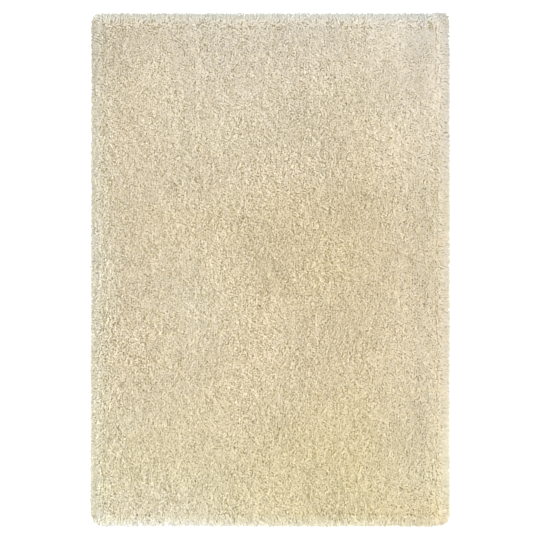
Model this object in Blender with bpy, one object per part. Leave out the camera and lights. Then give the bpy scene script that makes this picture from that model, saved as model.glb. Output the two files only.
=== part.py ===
"""Shag rug, 1.63 x 2.33 m, lying flat on the floor.

It is one tufted piece. Its underside is flat, its top is lumpy where neighbouring tufts lean
together, and it falls away at the rim, where the outermost tufts splay out over the edge as locks.
Metres, +Z up. The origin is on the floor under the rug's middle, and +Y is its far end.
"""

from collections import namedtuple

import bmesh
import bpy
import numpy as np
from mathutils import Vector, noise
from mathutils.geometry import delaunay_2d_cdt

# The whole rug, over the tips of its locks and its highest tufts
WIDTH = 1.63
LENGTH = 2.33
HEIGHT = 0.037

# The pile's top
CLUMP_PITCH = 0.043         # from one clump of tufts to the next
CLUMP_DEPTH = 0.010         # from the highest clumps to the hollows between them
SWELL_PITCH = 0.25          # across the broad, shallow swells that the clumps ride on
SWELL_DEPTH = 0.004
SHOULDER_INSET = 0.017      # from the roots of the locks in to the shoulder
SHOULDER_HEIGHT = 0.034
UNDERSIDE_PITCH = 0.21

# The locks round the rim
LOCK_COUNT = 270
LOCK_LENGTH = 0.024
LOCK_ROOT_HEIGHT = 0.022
LOCK_ROOT_DEPTH = 0.005     # how much lower the lowest root is
SHORTEST_LOCK = 0.60        # share of the full length
LOCK_SWAY = 0.006           # how far a tip strays along the edge
LOCK_LIFT = 0.007           # how high the tip of a lock that doesn't lie down is
LIFTED_SHARE = 0.35

# Sections along a lock: how far out they are, and their width and height, as shares of the root's
LockSection = namedtuple("LockSection", "out wide tall")
LOCK_SECTIONS = (
    LockSection(out=0.40, wide=0.66, tall=0.94),
    LockSection(out=1.00, wide=0.20, tall=0.36),
)

# How far each corner is worn back along X and along Y, anticlockwise from the far right one
Corner = namedtuple("Corner", "side_x side_y back_x back_y")
CORNERS = (
    Corner(side_x=1, side_y=1, back_x=0.005, back_y=0.005),
    Corner(side_x=-1, side_y=1, back_x=0.020, back_y=0.022),
    Corner(side_x=-1, side_y=-1, back_x=0.026, back_y=0.044),
    Corner(side_x=1, side_y=-1, back_x=0.030, back_y=0.024),
)

CREAM_YARN = (0.694, 0.604, 0.418, 1.0)
YARN_ROUGHNESS = 0.95
SEED = 7


def remove_all_objects():
    for old in list(bpy.data.objects):
        bpy.data.objects.remove(old, do_unlink=True)


def outline(inset):
    """Evenly spaced points anticlockwise round the rug, one a lock, this far inside its tips."""
    quarter = np.radians(np.linspace(0, 90, 13))
    arcs = []
    for turn, corner in enumerate(CORNERS):
        angle = quarter + np.radians(90) * turn
        middle_x = corner.side_x * (WIDTH / 2 - inset - corner.back_x)
        middle_y = corner.side_y * (LENGTH / 2 - inset - corner.back_y)
        arc_x = middle_x + corner.back_x * np.cos(angle)
        arc_y = middle_y + corner.back_y * np.sin(angle)
        arcs.append(np.column_stack([arc_x, arc_y]))
    path = np.concatenate([*arcs, arcs[0][:1]])
    run = np.concatenate([[0], np.cumsum(np.linalg.norm(np.diff(path, axis=0), axis=1))])
    stations = np.linspace(0, run[-1], LOCK_COUNT, endpoint=False)
    return np.column_stack([np.interp(stations, run, path[:, axis]) for axis in (0, 1)])


def lattice(pitch, inset, rng):
    """Points of a loosened honeycomb lattice that lie at least this far inside the rug's tips."""
    rows = np.arange(-LENGTH / 2, LENGTH / 2, pitch * np.sqrt(3) / 2)
    columns = np.arange(-WIDTH / 2, WIDTH / 2, pitch)
    x, y = np.meshgrid(columns, rows)
    x[1::2] += pitch / 2
    points = np.column_stack([x.ravel(), y.ravel()])
    points += rng.uniform(-0.2, 0.2, points.shape) * pitch
    inside = (np.abs(points) < [WIDTH / 2 - inset, LENGTH / 2 - inset]).all(axis=1)
    return points[inside]


def add_level(bm, points):
    """Vertices on the floor."""
    return [bm.verts.new((x, y, 0.0)) for x, y in points]


def add_lumpy(bm, points, height, depth, rng):
    """Vertices that ride on the pile's swells, each lower than this height by up to this depth."""
    verts = []
    for x, y in points:
        swell = SWELL_DEPTH * noise.noise(Vector((x, y, 0.0)) / SWELL_PITCH)
        hollow = depth * rng.uniform(0, 1)
        verts.append(bm.verts.new((x, y, height + swell - hollow)))
    return verts


def add_skin(bm, rim, inner, facing_up):
    """Fills the loop of rim vertices with triangles that also meet the inner ones."""
    verts = rim + inner
    flat = [vert.co.xy for vert in verts]
    loop = [(i, (i + 1) % len(rim)) for i in range(len(rim))]
    inside_the_loop = 1
    triangles = delaunay_2d_cdt(flat, loop, [], inside_the_loop, 1e-6)[2]
    for triangle in triangles:
        corners = [verts[i] for i in triangle]
        bm.faces.new(corners if facing_up else reversed(corners))


def add_walls(bm, lower, upper):
    """A wall face for the root of each lock, between the loops of the underside and the pile."""
    walls = []
    for i in range(LOCK_COUNT):
        after = (i + 1) % LOCK_COUNT
        walls.append(bm.faces.new([lower[i], lower[after], upper[after], upper[i]]))
    return walls


def grow_locks(bm, walls, rng):
    """Draws each wall out into a tapered lock of four sides. Most of the locks lie on the floor."""
    reach = LOCK_LENGTH * rng.uniform(SHORTEST_LOCK, 1, LOCK_COUNT)
    sway = LOCK_SWAY * rng.uniform(-1, 1, LOCK_COUNT)
    lift = LOCK_LIFT * (rng.uniform(0, 1, LOCK_COUNT) < LIFTED_SHARE)
    roots = [[vert.co.copy() for vert in wall.verts] for wall in walls]
    ends = walls
    for section in LOCK_SECTIONS:
        ends = bmesh.ops.extrude_discrete_faces(bm, faces=ends)["faces"]
        for i, (end, root) in enumerate(zip(ends, roots)):
            middle = (root[0] + root[1]) / 2
            along = (root[1] - root[0]).normalized()
            out = Vector((along.y, -along.x, 0.0))
            moved = out * reach[i] * section.out + along * sway[i] * section.out**2
            moved.z = lift[i] * section.out**2
            for vert, start in zip(end.verts, root):
                sideways = (start - middle).dot(along) * section.wide
                level = Vector((0.0, 0.0, start.z * section.tall))
                vert.co = middle + along * sideways + level + moved


def fit_to_size(bm):
    """Stretches each half a little, so that its longest lock, or its highest tuft, meets its size."""
    points = np.array([vert.co for vert in bm.verts])
    low, high = points.min(axis=0), points.max(axis=0)
    for vert in bm.verts:
        vert.co.x *= WIDTH / 2 / (high[0] if vert.co.x > 0 else -low[0])
        vert.co.y *= LENGTH / 2 / (high[1] if vert.co.y > 0 else -low[1])
        vert.co.z *= HEIGHT / high[2]


def pile_mesh():
    rng = np.random.default_rng(SEED)
    bm = bmesh.new()
    roots = outline(LOCK_LENGTH)
    shoulder = outline(LOCK_LENGTH + SHOULDER_INSET)
    clear_of_rim = LOCK_LENGTH + SHOULDER_INSET + CLUMP_PITCH / 2
    clumps = lattice(CLUMP_PITCH, clear_of_rim, rng)

    lower_rim = add_level(bm, roots)
    ground = add_level(bm, lattice(UNDERSIDE_PITCH, clear_of_rim, rng))
    upper_rim = add_lumpy(bm, roots, LOCK_ROOT_HEIGHT, LOCK_ROOT_DEPTH, rng)
    pile = add_lumpy(bm, shoulder, SHOULDER_HEIGHT, CLUMP_DEPTH / 2, rng)
    pile += add_lumpy(bm, clumps, HEIGHT, CLUMP_DEPTH, rng)

    add_skin(bm, lower_rim, ground, facing_up=False)
    add_skin(bm, upper_rim, pile, facing_up=True)
    grow_locks(bm, add_walls(bm, lower_rim, upper_rim), rng)
    fit_to_size(bm)

    mesh = bpy.data.meshes.new("shag_pile")
    bm.to_mesh(mesh)
    bm.free()
    mesh.shade_smooth()
    return mesh


def yarn_material():
    material = bpy.data.materials.new("cream_yarn")
    material.use_nodes = True
    shader = material.node_tree.nodes["Principled BSDF"]
    shader.inputs["Base Color"].default_value = CREAM_YARN
    shader.inputs["Roughness"].default_value = YARN_ROUGHNESS
    shader.inputs["Metallic"].default_value = 0.0
    return material


def main():
    remove_all_objects()
    mesh = pile_mesh()
    mesh.materials.append(yarn_material())
    rug = bpy.data.objects.new("shag_pile", mesh)
    bpy.context.scene.collection.objects.link(rug)


main()
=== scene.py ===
import bpy
import numpy as np
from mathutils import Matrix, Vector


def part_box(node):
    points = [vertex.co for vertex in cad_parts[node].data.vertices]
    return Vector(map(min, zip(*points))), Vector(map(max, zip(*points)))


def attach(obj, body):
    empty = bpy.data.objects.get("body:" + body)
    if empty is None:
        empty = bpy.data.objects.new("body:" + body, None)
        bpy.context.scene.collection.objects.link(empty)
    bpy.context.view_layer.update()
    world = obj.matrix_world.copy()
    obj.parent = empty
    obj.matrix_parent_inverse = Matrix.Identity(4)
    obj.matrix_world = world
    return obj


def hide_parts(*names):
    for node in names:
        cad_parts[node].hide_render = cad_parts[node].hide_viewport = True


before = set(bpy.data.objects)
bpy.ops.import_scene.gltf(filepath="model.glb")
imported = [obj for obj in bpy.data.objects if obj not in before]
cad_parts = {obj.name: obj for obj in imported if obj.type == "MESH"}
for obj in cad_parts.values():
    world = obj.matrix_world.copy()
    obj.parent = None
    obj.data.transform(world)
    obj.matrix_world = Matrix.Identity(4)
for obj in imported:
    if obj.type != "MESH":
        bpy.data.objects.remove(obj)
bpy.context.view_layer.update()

# ---------------------------------------------------------------------------------------------
# Ground cloth
# A coarse woven cloth with a latex coat, 3 mm thick in all, that carries every tuft. It is cut
# 25 mm inside the rug's edge, so that the outermost tufts hide its rim, and it lies on the floor.

HALF_SIZE = np.array(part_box("shag_pile")[1])[:2]
CLOTH_INSET = 0.025
CLOTH_THICKNESS = 0.003
WEAVE_PITCH = 0.004
WAVE_PERIOD = 0.314         # of a wave texture whose scale is 1
LATEX = (0.52, 0.46, 0.36, 1.0)
JUTE = (0.40, 0.33, 0.22, 1.0)

# How far each corner is worn back along X and Y: far right, far left, near right, near left
CORNER_WEAR = np.array([(0.006, 0.006), (0.020, 0.022), (0.030, 0.024), (0.026, 0.044)])


def outline(inset, count):
    """Evenly spaced points, anticlockwise round a rectangle whose corners are quarter ellipses."""
    corners = []
    for first_angle, side_x, side_y in ((0, 1, 1), (90, -1, 1), (180, -1, -1), (270, 1, -1)):
        angle = np.radians(first_angle + np.linspace(0, 90, 13))
        wear_x, wear_y = CORNER_WEAR[(side_x < 0) + 2 * (side_y < 0)]
        corner_x = side_x * (HALF_SIZE[0] - inset - wear_x) + wear_x * np.cos(angle)
        corner_y = side_y * (HALF_SIZE[1] - inset - wear_y) + wear_y * np.sin(angle)
        corners.append(np.column_stack([corner_x, corner_y]))
    path = np.concatenate([*corners, corners[0][:1]])
    run = np.append(0, np.cumsum(np.linalg.norm(np.diff(path, axis=0), axis=1)))
    stations = np.linspace(0, run[-1], count, endpoint=False)
    return np.column_stack([np.interp(stations, run, path[:, 0]), np.interp(stations, run, path[:, 1])])


def mesh_object(name, points, faces, uv_maps=(), point_values=()):
    """An object at the origin, of arrays of points, faces, UV maps by corner and values by point."""
    mesh = bpy.data.meshes.new(name)
    sides = faces.shape[1]
    mesh.vertices.add(len(points))
    mesh.vertices.foreach_set("co", points.astype(np.float32).ravel())
    mesh.loops.add(faces.size)
    mesh.loops.foreach_set("vertex_index", faces.astype(np.int32).ravel())
    mesh.polygons.add(len(faces))
    mesh.polygons.foreach_set("loop_start", np.arange(0, faces.size, sides, dtype=np.int32))
    mesh.polygons.foreach_set("loop_total", np.full(len(faces), sides, dtype=np.int32))
    for uv_name, corners in uv_maps:
        layer = mesh.uv_layers.new(name=uv_name, do_init=False)
        layer.uv.foreach_set("vector", corners.astype(np.float32).ravel())
    for value_name, values in point_values:
        attribute = mesh.attributes.new(value_name, "FLOAT", "POINT")
        attribute.data.foreach_set("value", values.astype(np.float32).ravel())
    mesh.update(calc_edges=True)
    mesh.validate()
    mesh.shade_smooth()
    made = bpy.data.objects.new(name, mesh)
    bpy.context.scene.collection.objects.link(made)
    return made


def carried_round(insets, heights, count):
    """A closed surface: a profile of insets and heights, bottom first, carried round the outline.

    Its first and last rings shrink towards the middle, so that they close the underside and the top.
    """
    rings = np.stack([
        np.column_stack([outline(inset, count), np.full(count, height)])
        for inset, height in zip(insets, heights)
    ])
    shares = np.array([0.001, 0.3, 0.6, 0.85])[:, None, None] * (1, 1, 0) + (0, 0, 1)
    rings = np.concatenate([rings[:1] * shares, rings, rings[-1:] * shares[::-1]])
    number = np.arange(len(rings) * count).reshape(len(rings), count)
    after = np.roll(number, -1, axis=1)
    quads = np.stack([number[:-1], after[:-1], after[1:], number[1:]], axis=-1).reshape(-1, 4)
    return rings.reshape(-1, 3), quads


def put(tree, kind, inputs=None, **settings):
    """Adds a node, with its settings, and with each input set to a value or linked to a socket."""
    node = tree.nodes.new(kind)
    for name, value in settings.items():
        setattr(node, name, value)
    for key, value in (inputs or {}).items():
        if isinstance(value, bpy.types.NodeSocket):
            tree.links.new(value, node.inputs[key])
        else:
            node.inputs[key].default_value = value
    return node


def blend(tree, factor, first, second, blend_type="MIX"):
    """The output of a colour mix. Its factor and its two colours are each a socket or a value."""
    sockets = {0: factor, 6: first, 7: second}
    return put(tree, "ShaderNodeMix", sockets, data_type="RGBA", blend_type=blend_type).outputs[2]


def new_material(name):
    """A material, its node tree, its Principled shader and its Object coordinates."""
    material = bpy.data.materials.new(name)
    material.use_nodes = True
    tree = material.node_tree
    place = put(tree, "ShaderNodeTexCoord").outputs["Object"]
    return material, tree, tree.nodes["Principled BSDF"], place


def woven_cloth():
    """Latex over a plain weave, the higher of two sets of sine waves that cross. It is smoother where
    the latex is thick."""
    material, tree, shader, place = new_material("woven_ground_cloth")
    pace = {"Vector": place, "Scale": WAVE_PERIOD / WEAVE_PITCH}
    warp = put(tree, "ShaderNodeTexWave", pace, bands_direction="X").outputs["Fac"]
    weft = put(tree, "ShaderNodeTexWave", pace, bands_direction="Y").outputs["Fac"]
    thread = put(tree, "ShaderNodeMath", {0: warp, 1: weft}, operation="MAXIMUM").outputs[0]
    stain = put(tree, "ShaderNodeTexNoise", {"Vector": place, "Scale": 9.0, "Detail": 4.0}).outputs["Fac"]
    cover = put(tree, "ShaderNodeMath", {0: thread, 1: stain}, operation="MULTIPLY").outputs[0]
    bump = put(tree, "ShaderNodeBump", {"Height": thread, "Strength": 0.6, "Distance": 0.001})
    rough = put(tree, "ShaderNodeMapRange", {"Value": cover, "To Min": 1.0, "To Max": 0.7})
    tree.links.new(blend(tree, cover, JUTE, LATEX), shader.inputs["Base Color"])
    tree.links.new(bump.outputs["Normal"], shader.inputs["Normal"])
    tree.links.new(rough.outputs[0], shader.inputs["Roughness"])
    return material


ground_cloth = mesh_object(
    "ground_cloth",
    *carried_round(
        insets=CLOTH_INSET + np.array([0.002, 0, 0, 0.002]),
        heights=CLOTH_THICKNESS * np.array([0, 0.25, 0.75, 1]),
        count=320,
    ),
)
ground_cloth.data.materials.append(woven_cloth())
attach(ground_cloth, "root")

# ---------------------------------------------------------------------------------------------
# Pile body
# The lower part of the pile, where the yarn ends stand so close that they make one springy mass.
# It is 18 mm deep, holds the ground cloth in its underside, and rolls down at the rug's rim.

BODY_TOP = 0.018
BODY_INSET = 0.018
BODY_ROLL = 0.034           # across its rounded rim
PACKED_PITCH = 0.0060       # from one packed yarn end to the next
PALE_RIM = 0.8              # at its rim, how far its painted shade is lifted, from the deepest to the yarn's own tone

# Noise in the yarn's tone: its size, two of its values, and the tone that it adds at each. The first
# are dark flecks, painted shade between the fibres, the second streaks of brushed pile. Both are drawn
# out 3.2 times along the fibres' way, towards the near end and to the right, and 6 times in depth.
FLECKS = ((0.0024, 0.48, 0.68, 0.0, -0.6), (0.014, 0.35, 0.65, 0.05, -0.05))
DRAWN_OUT = (1.0, 3.2, 6.0)
FIBRE_WAY = -50             # in degrees from +X

# The yarn's colour at its root, which is painted shade, and at shares of the way from its darkest tone to
# its palest
YARN_SHADED_ROOT = (0.445, 0.385, 0.21, 1.0)
YARN_TONES = ((0, (0.265, 0.223, 0.092)), (0.75, (0.79, 0.731, 0.576)), (1, (0.906, 0.874, 0.752)))
RIM_TINT = (0.98, 1.06, 1.17, 1.0)          # the yarn at the rim is tinted greyer and bluer

# Yarn of two dye lots, one a little warmer than the other, lies mixed over the rug in spots. They are
# drawn out along the fibres' way too.
LOT_WARM = (1.012, 1.0, 0.945, 1.0)
LOT_COOL = (0.988, 1.0, 1.055, 1.0)
LOT_SIZE = (0.030, 0.042, 0.3)

# The broad painted light and shade of the pile, where it lies and catches the light differently, and a
# painted shade that darkens the right rim, where the key light falls strongly: tints at shares of the
# way from its near end to its far end and from left to right, then soft round patches, each with its
# middle, half widths and tint
TINTS_ALONG = (
    (0, (0.92, 0.90, 0.865)), (0.016, (0.86, 0.838, 0.737)), (0.03, (0.915, 0.89, 0.785)),
    (0.05, (0.90, 0.88, 0.775)), (0.31, (0.91, 0.87, 0.80)), (0.52, (0.90, 0.857, 0.79)),
    (0.61, (0.91, 0.87, 0.80)), (0.72, (0.94, 0.91, 0.885)), (0.88, (0.924, 0.911, 0.931)),
    (0.965, (0.857, 0.853, 0.885)), (0.982, (0.798, 0.789, 0.813)), (1, (0.862, 0.891, 0.952)),
)
TINTS_ACROSS = (
    (0, (0.98, 0.99, 1.005)), (0.012, (0.98, 0.995, 1.01)), (0.022, (0.96, 0.982, 1.025)),
    (0.035, (1.01, 1.04, 1.105)), (0.08, (0.99, 0.99, 1.02)), (0.35, (1.005, 1.0, 1.005)),
    (0.6, (0.985, 0.97, 0.96)), (0.75, (0.975, 0.956, 0.918)), (0.86, (0.97, 0.958, 0.96)),
    (0.925, (0.915, 0.906, 0.919)), (0.95, (0.955, 0.955, 0.97)), (0.968, (0.93, 0.92, 0.93)),
    (0.977, (0.83, 0.81, 0.82)), (0.986, (0.75, 0.735, 0.748)), (1, (0.775, 0.758, 0.785)),
)
PATCHES = (
    ((-0.78, 1.02), (0.62, 0.85), (0.995, 0.965, 0.895)),
    ((0.42, 1.12), (0.55, 0.30), (1.025, 1.035, 1.07)),
    ((0.13, 0.04), (0.45, 0.42), (1.0, 0.995, 0.95)),
    ((-0.34, -0.12), (0.32, 0.36), (1.035, 1.055, 1.085)),
    ((-0.79, 0.02), (0.16, 0.42), (1.05, 1.07, 1.11)),
    ((0.24, -0.84), (0.60, 0.50), (1.0, 0.995, 0.935)),
    ((-0.48, -1.17), (0.62, 0.30), (1.035, 1.06, 1.155)),
    ((0.76, -1.17), (0.45, 0.24), (0.965, 0.93, 0.84)),
    ((-0.84, -0.8), (0.14, 1.2), (1.08, 1.08, 1.08)),
    ((0.83, -0.8), (0.13, 0.6), (1.08, 1.08, 1.08)),
    ((0.82, 1.0), (0.075, 0.9), (0.90, 0.89, 0.86)),
    ((-0.781, -1.114), (0.04, 0.04), (0.95, 0.94, 0.99)),
    ((-0.815, 1.02), (0.05, 0.30), (0.915, 0.90, 0.88)),
    ((-0.815, -0.8), (0.06, 0.6), (1.06, 1.055, 1.07)),
    ((0.77, 1.125), (0.06, 0.05), (1.01, 1.0, 0.97)),
    ((0.79, -1.13), (0.07, 0.08), (1.09, 1.09, 1.13)),
    ((-0.79, 1.13), (0.06, 0.06), (1.09, 1.09, 1.12)),
    ((0.76, 0.48), (0.12, 0.52), (0.935, 0.935, 0.93)),
    ((-0.40, 1.165), (0.48, 0.10), (0.955, 0.955, 0.94)),
)


def edge_inset(points):
    """How far in from the rug's edge each point lies. At a worn corner it is measured along the line
    from the middle of the corner's ellipse."""
    wear = CORNER_WEAR[(points[:, 0] < 0) + 2 * (points[:, 1] < 0)]
    past = np.abs(points) - (HALF_SIZE - wear)
    beyond = np.maximum(past, 0)
    run = np.linalg.norm(beyond, axis=1)
    share = np.linalg.norm(beyond / wear, axis=1)
    straight = (wear - past).min(axis=1)
    at_corner = (past > 0).all(axis=1)
    return np.where(at_corner, run / np.maximum(share, 1e-6) - run, straight)


def body_height(inset):
    """The pile body's height over its own underside: a quarter ellipse from its rim in, then level."""
    share = np.clip((inset - BODY_INSET) / BODY_ROLL, 0, 1)
    return BODY_TOP * np.sqrt(1 - (1 - share)**2)


def graded(tree, factor, stops):
    """The output of a colour ramp. Each stop is a share and the colour there."""
    ramp = put(tree, "ShaderNodeValToRGB", {"Fac": factor})
    marks = ramp.color_ramp.elements
    for share, colour in stops[1:-1]:
        marks.new(share).color = (*colour, 1.0)
    marks[0].color = (*stops[0][1], 1.0)
    marks[-1].color = (*stops[-1][1], 1.0)
    return ramp.outputs["Color"]


def cream_dye_and_painted_light():
    """A node group: the colour of the yarn, with painted light and shade. Its inputs are the depth in the
    pile, which sets the painted shade towards the root, the yarn's own tone, how far it falls at the rim,
    and how loose the pile is.

    Flecks are noise drawn out along the fibres, the fine ones painted shade between them, and two dye lots
    mix by a coarser noise. The rug's broad painted light and shade are ramps along and across it, and
    patches that fade smoothly from their middles to their rims.
    """
    group = bpy.data.node_groups.new("cream_dye_and_painted_light", "ShaderNodeTree")
    for name, value in (("Along", 1.0), ("Tone", 0.5), ("Rim", 0.0), ("Loose", 1.0)):
        socket = group.interface.new_socket(name, in_out="INPUT", socket_type="NodeSocketFloat")
        socket.default_value = value
    group.interface.new_socket("Color", in_out="OUTPUT", socket_type="NodeSocketColor")
    given = put(group, "NodeGroupInput").outputs
    place = put(group, "ShaderNodeTexCoord").outputs["Object"]
    turn = {"Vector": place, "Rotation": (0.0, 0.0, np.radians(FIBRE_WAY + 90))}

    combed, lots = (
        put(group, "ShaderNodeMapping", {**turn, "Scale": scale}, vector_type="TEXTURE").outputs[0]
        for scale in (DRAWN_OUT, LOT_SIZE)
    )
    tone = given["Tone"]
    # Flecks of noise in the tone: the fine dark ones are painted shade between the fibres
    for size, low, high, at_low, at_high in FLECKS:
        noise = {"Vector": combed, "Scale": 1 / size, "Detail": 1.0}
        value = put(group, "ShaderNodeTexNoise", noise).outputs["Fac"]
        levels = {"From Min": low, "From Max": high, "To Min": at_low, "To Max": at_high}
        fleck = put(group, "ShaderNodeMapRange", {"Value": value, **levels}).outputs[0]
        terms = {0: fleck, 1: given["Loose"], 2: tone}
        tone = put(group, "ShaderNodeMath", terms, operation="MULTIPLY_ADD").outputs[0]
    # Painted shade: where Along is low, towards the yarn's root and between packed yarn ends, the colour
    # darkens to the shaded root colour
    colour = blend(group, given["Along"], YARN_SHADED_ROOT, graded(group, tone, YARN_TONES))

    spots = {"Vector": lots, "Scale": 1.0, "Detail": 3.0, "Roughness": 0.7}
    mixed = put(group, "ShaderNodeTexNoise", spots).outputs["Fac"]
    spread = {"Value": mixed, "From Min": 0.25, "From Max": 0.75}
    lot = put(group, "ShaderNodeMapRange", spread).outputs[0]
    colour = blend(group, 1.0, colour, blend(group, lot, LOT_WARM, LOT_COOL), "MULTIPLY")

    where = put(group, "ShaderNodeSeparateXYZ", {"Vector": place}).outputs
    # Painted light and shade over the whole rug: ramps along and across it, then soft round patches
    for axis, half, tints in (("Y", HALF_SIZE[1], TINTS_ALONG), ("X", HALF_SIZE[0], TINTS_ACROSS)):
        reach = {"Value": where[axis], "From Min": -half, "From Max": half}
        share = put(group, "ShaderNodeMapRange", reach).outputs[0]
        colour = blend(group, 1.0, colour, graded(group, share, tints), "MULTIPLY")
    for middle, half_widths, tint in PATCHES:
        spot = {"Vector": place, "Location": (*middle, 0.0), "Scale": (*half_widths, 1.0)}
        fitted = put(group, "ShaderNodeMapping", spot, vector_type="TEXTURE").outputs[0]
        cone = put(group, "ShaderNodeTexGradient", {"Vector": fitted}, gradient_type="SPHERICAL")
        fade = {"Value": cone.outputs["Fac"]}
        patch = put(group, "ShaderNodeMapRange", fade, interpolation_type="SMOOTHSTEP").outputs[0]
        colour = blend(group, patch, colour, blend(group, 1.0, colour, (*tint, 1.0), "MULTIPLY"))
    colour = blend(group, given["Rim"], colour, blend(group, 1.0, colour, RIM_TINT, "MULTIPLY"))
    out = put(group, "NodeGroupOutput")
    group.links.new(colour, out.inputs["Color"])
    return group


def packed_yarn():
    """Yarn ends packed side by side, seen end on: round cells of various tones, with painted shade deep in
    between.
    """
    material, tree, shader, place = new_material("packed_yarn")
    cells = put(tree, "ShaderNodeTexVoronoi", {"Vector": place, "Scale": 1 / PACKED_PITCH})
    # Painted shade between the packed yarn ends: crown is high in each cell's middle and low at its edge,
    # and it also gives the bump and roughness
    levels = {"From Min": 0.15, "From Max": 0.65, "To Min": 0.90, "To Max": 0.05}
    crown = put(tree, "ShaderNodeMapRange", {"Value": cells.outputs["Distance"], **levels}).outputs[0]
    tone = put(tree, "ShaderNodeSeparateColor", {"Color": cells.outputs["Color"]}).outputs["Red"]
    rim = put(tree, "ShaderNodeAttribute", attribute_name="rim").outputs["Fac"]
    along = put(tree, "ShaderNodeMath", {0: crown, 1: rim}, operation="MAXIMUM").outputs[0]
    dye = put(tree, "ShaderNodeGroup", node_tree=dye_and_painted_light)
    tree.links.new(along, dye.inputs["Along"])
    tree.links.new(tone, dye.inputs["Tone"])
    bump = put(tree, "ShaderNodeBump", {"Height": crown, "Strength": 0.7, "Distance": 0.003})
    rough = put(tree, "ShaderNodeMapRange", {"Value": crown, "To Min": 1.0, "To Max": 0.85})
    tree.links.new(dye.outputs["Color"], shader.inputs["Base Color"])
    tree.links.new(bump.outputs["Normal"], shader.inputs["Normal"])
    tree.links.new(rough.outputs[0], shader.inputs["Roughness"])
    shader.inputs["Specular IOR Level"].default_value = 0.15
    return material


dye_and_painted_light = cream_dye_and_painted_light()
body_insets = BODY_INSET + BODY_ROLL * (1 - np.cos(np.radians(np.linspace(0, 90, 9))))
body_points, body_faces = carried_round(
    insets=np.append(BODY_INSET + 0.004, body_insets),
    heights=CLOTH_THICKNESS * 0.5 + np.append(0, body_height(body_insets)),
    count=400,
)
body_rim = np.clip(1 - (edge_inset(body_points[:, :2]) - BODY_INSET) / BODY_ROLL, 0, 1)
body_values = [("rim", PALE_RIM * np.sqrt(body_rim))]
pile_body = mesh_object("pile_body", body_points, body_faces, point_values=body_values)
pile_body.data.materials.append(packed_yarn())
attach(pile_body, "root")
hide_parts("shag_pile")

# ---------------------------------------------------------------------------------------------
# Pile
# Cut ends of thick twisted yarn, one every 4 mm, rooted in the pile body. Most stand 5 to 16 mm clear
# of it. They bend over by the nap, lean together in clumps, and are made in five strips along the rug.

PILE_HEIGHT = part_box("shag_pile")[1].z
TUFT_PITCH = 0.00408
YARN_LENGTH = 0.022
YARN_RADIUS = 0.0033
STATIONS = np.array([0.0, 0.62, 1.0])       # along a yarn end: its root, where it is thickest, its tip
BULGE = 0.5                 # how far its sides are off its middle line, as a share of its radius
FLATNESS = 0.2              # how far its tip keeps from the floor and the top, also as a share of it
FLOOR_GAP = 0.0003          # and how much further, in metres, it keeps from the floor
ROOT_DEPTH = 0.005          # how far its root is sunk into the pile body
LEAST_ROOT_HEIGHT = 0.003
ROLL_OVER = 0.045           # how far in from the pile body's rim the yarn starts to fall outwards
STRAY = 0.006               # how far this start moves in or out by chance
STRIPS = 5
STRIP_INSET = 0.036         # nearer the edge than this, the rim's own rows take over
SEED = 11

# Angles in degrees. The nap's way is from +X, so it lies towards the near end and a little to the
# right, and the yarn strays from it by chance. The leans are from upright, of the root and the tip of
# yarn that stands, then of yarn that falls at the rim.
NAP = -68
NAP_SPREAD = 18
STANDING_ROOT = (0, 25)
STANDING_TIP = 48
STANDING_TIP_SPREAD = (-28, 27)
FALLEN_ROOT = (46, 88)
FALLEN_TIP = (84, 124)

# Tone runs from 0, the darkest yarn, to 1, the palest. It also carries painted shade in pits and painted
# light on crowns
MEAN_TONE = 0.81
PIT_TONE = -1.1             # yarn that lies low in a pit is in the shade of its neighbours
CROWN_TONE = 0.2            # yarn that stands up above them is not

# Along the left edge, a painted highlight on the crest and a painted shadow line behind it: inset, half
# width and tone
CREST = ((0.037, 0.007, 0.08), (0.055, 0.009, -0.05))

# A short parting near the far right corner, where the pile has been folded. It is painted shade only: the
# yarn there takes the pits' darker tone
PARTING_MIDDLE = (0.7265, 1.111)
PARTING_HALF_WIDTHS = (0.0045, 0.023)


def drift(points, wavelength, seed, way=0, spread=90, waves=24):
    """A smooth random field of about -1 to 1, seeded: a sum of plane waves of about one length. Their
    headings, in degrees, differ from the way by up to the spread. A small spread draws the field out
    across that way."""
    rng = np.random.default_rng(seed)
    heading = np.radians(way + spread * rng.uniform(-1, 1, waves))
    start = rng.uniform(0, 2 * np.pi, waves)
    pace = 2 * np.pi / (wavelength * rng.uniform(0.75, 1.35, waves))
    across = np.column_stack([np.cos(heading), np.sin(heading)]) * pace[:, None]
    return np.sin(points @ across.T + start).sum(axis=1) / np.sqrt(waves)


def tuft_roots(pitch, least_inset, rng):
    """Rows of roots along the rug, every other row shifted by half a pitch, and each by chance."""
    x, y = np.meshgrid(*(np.arange(-half, half, pitch) for half in HALF_SIZE))
    y[:, 1::2] += pitch / 2
    points = np.column_stack([x.ravel(), y.ravel()])
    points += rng.uniform(-1, 1, points.shape) * (0.36, 0.45) * pitch
    return points[edge_inset(points) > least_inset]


def bend_yarn(roots, azimuth, curl, lean, length):
    """Middle lines of yarn ends, and their directions.

    The angle from upright goes evenly from lean[:, 0] at the root to lean[:, 1] at the tip, and the
    azimuth turns evenly by curl. The line is the running sum of steps along that direction.
    """
    tilt = lean[:, :1] + (lean[:, 1:] - lean[:, :1]) * STATIONS
    turn = azimuth[:, None] + curl[:, None] * STATIONS
    heading = np.stack([np.sin(tilt) * np.cos(turn), np.sin(tilt) * np.sin(turn), np.cos(tilt)], axis=-1)
    step = (heading[:, 1:] + heading[:, :-1]) / 2 * (length[:, None] * np.diff(STATIONS))[..., None]
    start = roots[:, None]
    return np.concatenate([start, start + np.cumsum(step, axis=1)], axis=1), tilt, turn


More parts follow.
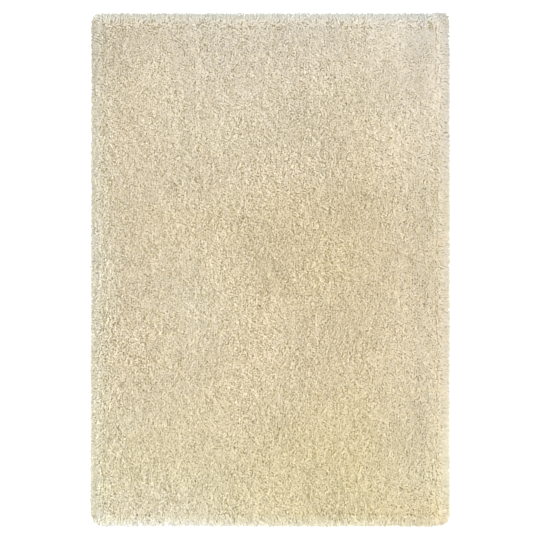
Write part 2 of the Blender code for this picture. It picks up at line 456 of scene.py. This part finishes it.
def yarn_points(middle, tilt, turn, radius, twist):
    """Points of each yarn end, a slim wedge: its root, its two sides where it is widest, and its tip.

    The two sides lie a radius either way from the middle line, in the direction that the twist gives,
    and a little off it at right angles to that. Where they would turn the wedge inside out, they
    change places.
    """
    tilt, turn = tilt[:, 1], turn[:, 1]
    side = np.stack([-np.sin(turn), np.cos(turn), np.zeros_like(turn)], axis=-1)
    over = np.stack([-np.cos(tilt) * np.cos(turn), -np.cos(tilt) * np.sin(turn), np.sin(tilt)], axis=-1)
    cosine, sine = np.cos(twist)[:, None], np.sin(twist)[:, None]
    across = radius[:, None] * (cosine * side + sine * over)
    raised = middle[:, 1] + BULGE * radius[:, None] * (cosine * over - sine * side)
    root, tip = middle[:, 0], middle[:, 2]
    inverted = (np.cross(raised + across - root, raised - across - root) * (tip - root)).sum(axis=1) < 0
    across[inverted] *= -1
    return np.stack([root, raised + across, raised - across, tip], axis=1)


def yarn_faces(count):
    """Corner numbers and UVs of the four triangles of every yarn end.

    The map named yarn has the share round the yarn and the share along it. The map named OFBake gives
    each yarn end a square of its own, with its sides laid out flat.
    """
    wide = STATIONS[1]
    corners = np.array([(0, 2, 1), (1, 2, 3), (0, 1, 3), (0, 3, 2)])
    shares = np.array([
        [(0.25, 0), (0.5, wide), (0, wide)], [(0, wide), (0.5, wide), (0.25, 1)],
        [(0.8, 0), (1, wide), (0.8, 1)], [(0.7, 0), (0.7, 1), (0.5, wide)],
    ])
    square = 0.06 + 0.88 * shares
    columns, each = int(np.ceil(np.sqrt(count))), np.arange(count)
    faces = (corners + each[:, None, None] * 4).reshape(-1, 3)
    bake = (square + np.column_stack([each % columns, each // columns])[:, None, None]) / columns
    return faces, np.tile(shares.reshape(-1, 2), (count, 1)), bake.reshape(-1, 2)


def tufts(name, roots, azimuth, curl, lean, length, radius, twist, tone, rim, loose):
    """One mesh of many yarn ends, kept between the floor and the pile's height, with the values for its
    material at its points. At the rim its root counts as less deep, so it gets less painted root shade."""
    middle, tilt, turn = bend_yarn(roots, azimuth, curl, lean, length)
    least = np.column_stack([0 * radius, radius, FLATNESS * radius]) + FLOOR_GAP
    middle[..., 2] = np.clip(middle[..., 2], least, PILE_HEIGHT - FLATNESS * radius[:, None])
    points = yarn_points(middle, tilt, turn, radius, twist)
    faces, yarn_uv, bake_uv = yarn_faces(len(roots))
    # At the rim the painted root shade is lifted: Along starts higher there
    along = np.maximum(np.repeat(STATIONS, (1, 2, 1)), np.minimum(4 * rim[:, None], 1))
    values = [("tone", np.repeat(tone, 4)), ("rim", np.repeat(rim, 4)), ("loose", np.repeat(loose, 4))]
    values.append(("along", along.ravel()))
    uv_maps = [("yarn", yarn_uv), ("OFBake", bake_uv)]
    return mesh_object(name, points.reshape(-1, 3), faces, uv_maps, values)


def outward(roots):
    """The azimuth straight out of the rug. Its parts along X and Y are the squares of how near the side
    and the end are, so that it fans out round the corners."""
    near = np.clip(1 - (HALF_SIZE - BODY_INSET - np.abs(roots)) / ROLL_OVER, 0, 1)**2 * np.sign(roots)
    return np.arctan2(near[:, 1], near[:, 0])


def looseness(points):
    """How open the pile stands, about 1: more along the left edge and above the middle, less where it is
    brushed smooth, along the right and far edges and at the very sides.

    It is a sum of bell curves, in shares of the half size. Two of them fade out by a ramp along the rug.
    """
    x, y = (points / HALF_SIZE).T
    left_edge = np.exp(-((x + 0.90) / 0.12)**2) * np.clip((y + 0.75) / 0.4, 0, 1)
    right_edge = np.exp(-((x - 1.0) / 0.35)**2) + 1.5 * np.exp(-((x - 1.0) / 0.06)**2)
    far_edge = 1.6 * np.exp(-((y - 1.0) / 0.055)**2) + 0.95 * np.exp(-((y - 1.0) / 0.33)**2)
    far_right = np.exp(-((x - 0.8) / 0.45)**2 - ((y - 0.8) / 0.5)**2)
    right_rim = np.exp(-((x - 1.0) / 0.08)**2) * np.clip((y + 0.2) / 0.8, 0, 1)
    above_middle = np.exp(-(x / 0.45)**2 - ((y - 0.27) / 0.33)**2)
    flanks = np.exp(-((np.abs(x) - 1.0) / 0.04)**2)
    brushed = 0.28 * right_edge + 0.25 * far_edge + 0.12 * far_right + 0.25 * right_rim + 0.22 * flanks
    return np.maximum(1.0 + 0.22 * left_edge + 0.30 * above_middle - brushed, 0.15)


def rim_reach(points):
    """How much longer than the rest the yarn is at the rim, as a share: least along the left side, about
    a half along the right side and the two ends, and most in the far right corner, which it squares off.

    It is level at the ends and a ramp along each side, with a bell curve added in that corner.
    """
    beside, beyond = (HALF_SIZE - np.abs(points)).T
    far = HALF_SIZE[1] - points[:, 1]
    left = 0.22 + 0.12 * (far / HALF_SIZE[1] - 1)
    right = 0.12 + 0.38 * np.clip(far / 0.18, 0, 1)
    square = 0.45 * np.exp(-((beside + beyond) / 0.07)**2) * (points > 0).all(axis=1)
    return np.where(beyond < beside, 0.48, np.where(points[:, 0] < 0, left, right)) + square


def painted_crest_light(points):
    """The tone added along the left edge: a bell curve of painted highlight for the crest and one of
    painted shade for the line behind it.
    """
    left = points[:, 0] + HALF_SIZE[0]
    return sum(tone * np.exp(-((left - inset) / width)**2) for inset, width, tone in CREST)


def parting(points):
    """1 in the middle of the parting, falling to 0 away from it: softly across it, sharply at its ends."""
    x, y = ((points - PARTING_MIDDLE) / PARTING_HALF_WIDTHS).T
    return np.exp(-x**2 - y**4)


def grow(name, roots, rng):
    """Yarn ends on these roots: leaning by the nap and by chance inside, outwards and down at the rim.

    Smooth random fields turn the nap, make clumps of 20 to 34 mm taller and paler, and sink pits and
    raise crowns where a finer field, of 10 mm, is at its lowest and highest, with painted shade in the
    pits and painted light on the crowns.
    """
    count = len(roots)

    # How far it falls, from 0 inside to 1 at the rim
    inset = edge_inset(roots)
    strayed = inset + 0.003 * drift(roots, 0.06, 14) + rng.normal(0, STRAY, count)
    fall = np.clip(1 - (strayed - BODY_INSET) / ROLL_OVER, 0, 1) * (inset < BODY_INSET + ROLL_OVER)

    # Its azimuth, and its lean at the root and at the tip
    nap = np.radians(NAP) + 0.35 * drift(roots, 0.42, 3) + 0.25 * drift(roots, 0.05, 4)
    settled = np.minimum(looseness(roots), 1)
    free = nap + rng.normal(0, np.radians(NAP_SPREAD), count) * settled
    swing = (outward(roots) - free + np.pi) % (2 * np.pi) - np.pi
    azimuth = free + swing * np.clip(fall * 1.8, 0, 1) + rng.normal(0, 0.22, count) * fall
    standing = rng.uniform(*STANDING_ROOT, count) * (1 - fall)
    root_lean = np.radians(standing + rng.uniform(*FALLEN_ROOT, count) * fall)
    standing = (STANDING_TIP + rng.uniform(*STANDING_TIP_SPREAD, count) * settled) * (1 - fall)
    tip_lean = np.radians(standing + rng.uniform(*FALLEN_TIP, count) * fall)
    lean = np.column_stack([root_lean, tip_lean])

    # Where the tip is seen from above, which is where the pile's pattern belongs
    reach = 0.75 * YARN_LENGTH * np.sin((root_lean + tip_lean) / 2)
    seen = roots + reach[:, None] * np.column_stack([np.cos(azimuth), np.sin(azimuth)])
    even = looseness(seen) * (1 - 0.38 * fall)
    loose = even * np.exp(0.10 * drift(seen, 0.11, 12, 0, 50) + 0.11 * drift(seen, 0.30, 13, 20, 60))
    clump = drift(seen, 0.020, 5, 20, 50) + drift(seen, 0.034, 8, 6, 40)
    grain = drift(seen, 0.0100, 9, 20, 55) + 0.12 * drift(seen, 0.09, 10, 0, 35)
    pit = np.clip((-0.75 - grain) / 0.3, 0, 1) * (1 - 0.4 * fall) * loose
    crown = np.clip((grain - 0.8) / 0.5, 0, 1) * loose

    # Its length and its tone
    length = YARN_LENGTH * (0.98 + rng.uniform(-0.12, 0.12, count) * loose) * (1 + 0.075 * clump * loose)
    length *= (1 - 0.52 * np.clip(pit, 0, 1)) * (1 + 0.06 * crown)
    length *= 1 + (rim_reach(roots) + rng.uniform(-0.28, 0.20, count)) * fall
    # Painted shade along the parting: it darkens the tone as a pit does, after the length is set
    pit = np.maximum(pit, 0.55 * parting(seen))
    streak = 0.016 * drift(seen, 0.055, 6, 0, 35) + 0.014 * drift(seen, 0.12, 7, 0, 20)
    own = MEAN_TONE + (0.75 * (rng.beta(12, 2.8, count) - MEAN_TONE) + 0.030 * clump) * loose
    # The tone takes painted shade in pits and along the parting, painted light on crowns, and the crest's
    # painted highlight and shadow line
    tone = np.clip(own + streak + PIT_TONE * pit + CROWN_TONE * crown + painted_crest_light(seen), 0, 1)

    start = np.column_stack([roots, np.maximum(body_height(inset) - ROOT_DEPTH, LEAST_ROOT_HEIGHT)])
    curl = rng.normal(0, 0.2, count) * settled
    radius = YARN_RADIUS * rng.uniform(0.8, 1.15, count)
    twist = rng.uniform(-0.6, 0.6, count) * settled
    return tufts(
        name, start, azimuth, curl, lean, length, radius, twist, tone, 0.5 * fall, np.minimum(even, 1)
    )


def pile_yarn():
    """Soft matt yarn: painted shade at the root, paler towards the tip, each end of its own tone. Its bump
    is a wave slanted round the yarn, for its plies, with fine noise over it, for its fibres."""
    material, tree, shader, place = new_material("cream_shag_yarn")
    along, tone, rim, loose = (
        put(tree, "ShaderNodeAttribute", attribute_name=name).outputs["Fac"]
        for name in ("along", "tone", "rim", "loose")
    )
    wound = put(tree, "ShaderNodeUVMap", uv_map="yarn").outputs["UV"]
    slant = {"Vector": wound, "Rotation": (0.0, 0.0, np.radians(35))}
    twisted = put(tree, "ShaderNodeMapping", slant).outputs[0]
    turns = {"Vector": twisted, "Scale": 0.95, "Distortion": 1.5}
    plies = put(tree, "ShaderNodeTexWave", turns).outputs["Fac"]
    hairs = {"Vector": place, "Scale": 1400.0, "Detail": 2.0}
    fibres = put(tree, "ShaderNodeTexNoise", hairs).outputs["Fac"]
    relief = {0: fibres, 1: 0.4, 2: plies}
    surface = put(tree, "ShaderNodeMath", relief, operation="MULTIPLY_ADD").outputs[0]
    # Painted shade towards the root: Along rises from the root to the yarn's sides and tip
    ends = {"Value": along, "From Min": 0.1, "From Max": 0.7}
    rise = put(tree, "ShaderNodeMapRange", ends, interpolation_type="SMOOTHSTEP").outputs[0]
    dye = put(tree, "ShaderNodeGroup", node_tree=dye_and_painted_light)
    tree.links.new(rise, dye.inputs["Along"])
    tree.links.new(tone, dye.inputs["Tone"])
    tree.links.new(rim, dye.inputs["Rim"])
    tree.links.new(loose, dye.inputs["Loose"])
    bump = put(tree, "ShaderNodeBump", {"Height": surface, "Strength": 0.5, "Distance": 0.0006})
    rough = put(tree, "ShaderNodeMapRange", {"Value": fibres, "To Min": 0.82, "To Max": 1.0})
    tree.links.new(dye.outputs["Color"], shader.inputs["Base Color"])
    tree.links.new(bump.outputs["Normal"], shader.inputs["Normal"])
    tree.links.new(rough.outputs[0], shader.inputs["Roughness"])
    shader.inputs["Specular IOR Level"].default_value = 0.2
    shader.inputs["Sheen Weight"].default_value = 0.08
    return material


rng = np.random.default_rng(SEED)
yarn = pile_yarn()


def finish_pile(piece):
    """Gives a piece of the pile its yarn, and lets it stand for the solid pile."""
    piece.data.materials.append(yarn)
    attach(piece, "root")
    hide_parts("shag_pile")
    return piece


roots = tuft_roots(TUFT_PITCH, STRIP_INSET, rng)
strip = np.clip(((roots[:, 0] / HALF_SIZE[0] + 1) / 2 * STRIPS).astype(int), 0, STRIPS - 1)
for number in range(STRIPS):
    finish_pile(grow(f"pile_strip_{number + 1}", roots[strip == number], rng))

# ---------------------------------------------------------------------------------------------
# Rim
# The outermost tufts, tighter together than the rest. They fall outwards over each other like
# thatch, hide the ground cloth's edge and touch the floor with their tips.

RIM_PITCH = 0.0055
RIM_ROW_INSETS = (0.019, 0.0205, 0.0225, 0.0245, 0.027, 0.0295, 0.032, 0.0345, 0.041, 0.051)

# More rows fill the corners, where the tufts fan out
CORNER_PITCH = 0.004
CORNER_ROW_INSETS = (0.021, 0.025, 0.030, 0.036, 0.042, 0.048, 0.054)
CORNER_REACH = 0.075

rows = []
for row_inset in RIM_ROW_INSETS:
    rows.append(outline(row_inset, int(4 * HALF_SIZE.sum() / RIM_PITCH)))
for row_inset in CORNER_ROW_INSETS:
    row = outline(row_inset, int(4 * HALF_SIZE.sum() / CORNER_PITCH))
    rows.append(row[(np.abs(row) > HALF_SIZE - CORNER_REACH).all(axis=1)])
rim_roots = np.concatenate(rows)
rim_roots += rng.uniform(-0.3, 0.3, rim_roots.shape) * RIM_PITCH
finish_pile(grow("rim_tufts", rim_roots, rng))

# Single fibres that have worked loose from the outermost yarn
FRAY_COUNT = 8000
FRAY_LENGTH = 0.021

fray_roots = outline(BODY_INSET + 0.002, FRAY_COUNT) + rng.uniform(-1, 1, (FRAY_COUNT, 2)) * 0.002
fray_start = np.column_stack([fray_roots, rng.uniform(0.003, 0.014, FRAY_COUNT)])
fray_root_lean = rng.uniform(60, 95, FRAY_COUNT)
fray_tip_lean = rng.uniform(75, 115, FRAY_COUNT)
fray_lean = np.radians(np.column_stack([fray_root_lean, fray_tip_lean]))
fray_azimuth = outward(fray_roots) + rng.normal(0, 0.45, FRAY_COUNT)
fray_curl = rng.normal(0, 0.6, FRAY_COUNT)
fray_length = FRAY_LENGTH * (1 + 0.8 * rim_reach(fray_roots)) * rng.uniform(0.65, 1.15, FRAY_COUNT)
frayed = tufts(
    "frayed_fibres", fray_start, fray_azimuth, fray_curl, fray_lean, fray_length,
    radius=rng.uniform(0.0007, 0.0012, FRAY_COUNT), twist=rng.uniform(0, 2, FRAY_COUNT),
    tone=rng.uniform(0.75, 1, FRAY_COUNT), rim=np.ones(FRAY_COUNT), loose=np.full(FRAY_COUNT, 0.3),
)
finish_pile(frayed)

# ---------------------------------------------------------------------------------------------
# Studio
# A white floor, a big soft key light from the right and an even white surround, with the camera
# straight above.

FLOOR_HALF = 20.0
floor = mesh_object(
    "floor",
    np.array([(-1, -1, 0), (1, -1, 0), (1, 1, 0), (-1, 1, 0)]) * FLOOR_HALF,
    np.array([(0, 1, 2, 3)]),
)
paper, tree, shader, place = new_material("white_floor")
grain = put(tree, "ShaderNodeTexNoise", {"Vector": place, "Scale": 60.0, "Detail": 3.0}).outputs["Fac"]
relief = put(tree, "ShaderNodeBump", {"Height": grain, "Strength": 0.1, "Distance": 0.001})
rough = put(tree, "ShaderNodeMapRange", {"Value": grain, "To Min": 0.8, "To Max": 0.95})
tree.links.new(relief.outputs["Normal"], shader.inputs["Normal"])
tree.links.new(rough.outputs[0], shader.inputs["Roughness"])
shader.inputs["Base Color"].default_value = (0.65, 0.65, 0.65, 1.0)
shader.inputs["Emission Color"].default_value = (1.0, 1.0, 1.0, 1.0)
shader.inputs["Emission Strength"].default_value = 0.6
floor.data.materials.append(paper)

world = bpy.data.worlds.new("surround")
world.use_nodes = True
world.node_tree.nodes["Background"].inputs["Color"].default_value = (1.0, 1.0, 1.0, 1.0)
world.node_tree.nodes["Background"].inputs["Strength"].default_value = 1.45
bpy.context.scene.world = world

key = bpy.data.objects.new("key_light", bpy.data.lights.new("key_light", "SUN"))
key.data.energy = 2.4
key.data.angle = np.radians(22)
key.rotation_euler = np.radians((8, 34, 0))
bpy.context.scene.collection.objects.link(key)

PICTURE_WIDTH = 540
PIXEL = 0.004555            # what one pixel of it covers, halfway up the pile
CAMERA_HEIGHT = 9.0
SENSOR_WIDTH = 36.0         # in millimetres, as is the lens
camera = bpy.data.objects.new("camera", bpy.data.cameras.new("camera"))
camera.data.sensor_width = SENSOR_WIDTH
camera.data.lens = SENSOR_WIDTH * (CAMERA_HEIGHT - PILE_HEIGHT / 2) / (PICTURE_WIDTH * PIXEL)
camera.data.clip_end = 100.0
camera.location = (0, 0, CAMERA_HEIGHT)
bpy.context.scene.collection.objects.link(camera)
bpy.context.scene.camera = camera
bpy.context.scene.view_settings.view_transform = "Standard"
